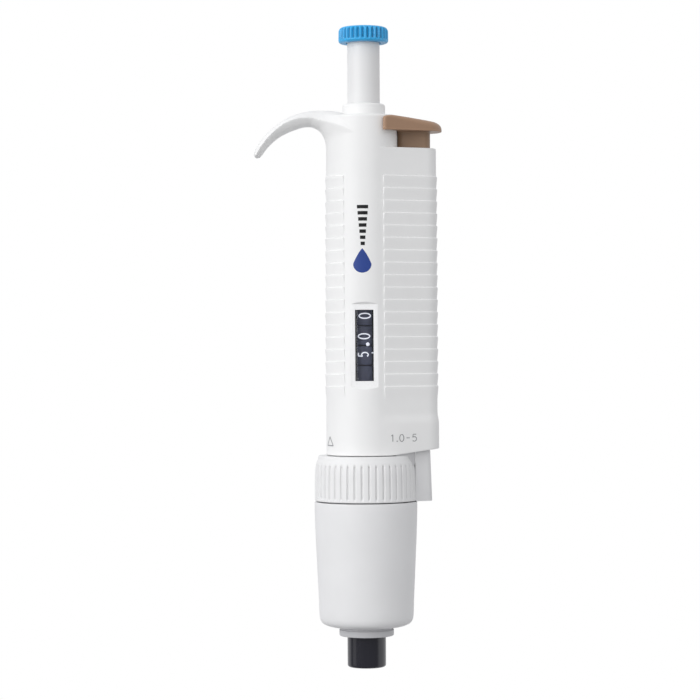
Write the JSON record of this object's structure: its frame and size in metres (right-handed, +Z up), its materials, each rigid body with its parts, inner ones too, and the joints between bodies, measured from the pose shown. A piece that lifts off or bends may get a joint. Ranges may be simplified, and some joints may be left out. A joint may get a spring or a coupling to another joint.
{
  "type": "adjustable micropipette",
  "caption": "Hand-held adjustable volume pipette with a knurled knob, finger hook, side tip ejector, volume window and a wide cylindrical lower end.",
  "frame": {"origin": "on the plunger axis, at the end plane of the nozzle where the tip goes on", "axes": "+Z up the plunger axis to the knob, -Y out of the volume window, -X towards the finger hook, +X the tip ejector's side"},
  "size_m": [0.0686, 0.0374, 0.2329],
  "materials": {
    "case_white": "fine satin moulded plastic",
    "tube_white": "smooth satin",
    "nut_white": "satin moulded plastic",
    "sleeve_white": "satin moulded plastic",
    "barrel_white": "satin",
    "knob_blue": "satin moulded plastic",
    "button_tan": "satin moulded plastic",
    "nozzle_black": "satin, solvent resistant plastic",
    "drum_dark": "matt, printed white numerals",
    "window_clear": "clear polished plastic",
    "acetal": "machined engineering plastic",
    "steel": "turned and drawn steel",
    "brass": "turned brass",
    "rubber": "greased seal rubber",
    "filter_felt": "pressed fibre"
  },
  "bodies": {
    "handle": {"case": "case_white", "window_lens": "window_clear", "plunger_guide": "case_white", "volume_bush": "acetal", "counter_frame": "acetal", "pinion_shaft": "steel", "drum_spacer": "drum_dark", "barrel_socket": "acetal", "coupling_nut": "nut_white", "barrel": "barrel_white", "rod_bush": "acetal", "nozzle": "nozzle_black", "nozzle_seal": "rubber", "nozzle_filter": "filter_felt", "ejector_rod_guide": "acetal"},
    "blowout": {"blowout_washer": "steel", "blowout_spring": "steel"},
    "piston_unit": {"piston": "acetal", "piston_seal": "rubber", "piston_rod": "steel", "spring_cup": "acetal", "return_spring": "steel"},
    "plunger": {"knob": "knob_blue", "plunger_tube": "tube_white", "plunger_shaft": "steel", "stop_collar": "brass"},
    "screw": {"volume_screw": "brass"},
    "hundredths": {"drive_sleeve": "acetal", "drum_hundredths": "drum_dark"},
    "tenths": {"drum_tenths": "drum_dark"},
    "units": {"drum_units": "drum_dark"},
    "tenths_pinion": {"pinion_tenths": "acetal"},
    "units_pinion": {"pinion_units": "acetal"},
    "ejector": {"ejector_button": "button_tan", "ejector_rod": "steel", "ejector_rod_clip": "steel", "ejector_arm": "sleeve_white", "ejector_sleeve": "sleeve_white", "ejector_spring": "steel"}
  },
  "joints": [
    {"name": "blow_out", "type": "slide", "parent": "handle", "child": "blowout", "axis": [0, 0, -1], "range_m": [0, 0.0035], "stiffness_N_per_m": 2000, "springref_m": -0.003, "deforming": ["blowout_spring"]},
    {"name": "plunger_press", "type": "slide", "parent": "blowout", "child": "piston_unit", "axis": [0, 0, -1], "range_m": [0, 0.016], "stiffness_N_per_m": 400, "springref_m": -0.005, "deforming": ["return_spring"]},
    {"name": "knob_turn", "type": "hinge", "parent": "piston_unit", "child": "plunger", "pos_m": [0, 0, 0.2], "axis": [0, 0, 1], "range_deg": [-2880, 0]},
    {"name": "screw_turn", "type": "hinge", "parent": "handle", "child": "screw", "pos_m": [0, 0, 0.188], "axis": [0, 0, 1], "range_deg": [-2880, 0]},
    {"name": "hundredths_turn", "type": "hinge", "parent": "handle", "child": "hundredths", "pos_m": [0, 0, 0.1277], "axis": [0, 0, 1], "range_deg": [-2880, 0]},
    {"name": "tenths_turn", "type": "hinge", "parent": "handle", "child": "tenths", "pos_m": [0, 0, 0.12055], "axis": [0, 0, 1], "range_deg": [-1440, 0]},
    {"name": "units_turn", "type": "hinge", "parent": "handle", "child": "units", "pos_m": [0, 0, 0.1134], "axis": [0, 0, 1], "range_deg": [-144, 0]},
    {"name": "tenths_pinion_turn", "type": "hinge", "parent": "handle", "child": "tenths_pinion", "pos_m": [0.0114, 0, 0.124], "axis": [0, 0, 1], "range_deg": [0, 3600]},
    {"name": "units_pinion_turn", "type": "hinge", "parent": "handle", "child": "units_pinion", "pos_m": [0.0114, 0, 0.117], "axis": [0, 0, 1], "range_deg": [0, 360]},
    {"name": "ejector_press", "type": "slide", "parent": "handle", "child": "ejector", "axis": [0, 0, -1], "range_m": [0, 0.0043], "stiffness_N_per_m": 500, "springref_m": -0.004, "deforming": ["ejector_spring"]}
  ],
  "couplings": [
    {"joint": "screw_turn", "follows": "knob_turn", "ratio": 1},
    {"joint": "hundredths_turn", "follows": "knob_turn", "ratio": 1},
    {"joint": "tenths_turn", "follows": "knob_turn", "ratio": 0.5},
    {"joint": "units_turn", "follows": "knob_turn", "ratio": 0.05},
    {"joint": "tenths_pinion_turn", "follows": "knob_turn", "ratio": -1.25},
    {"joint": "units_pinion_turn", "follows": "knob_turn", "ratio": -0.125}
  ]
}
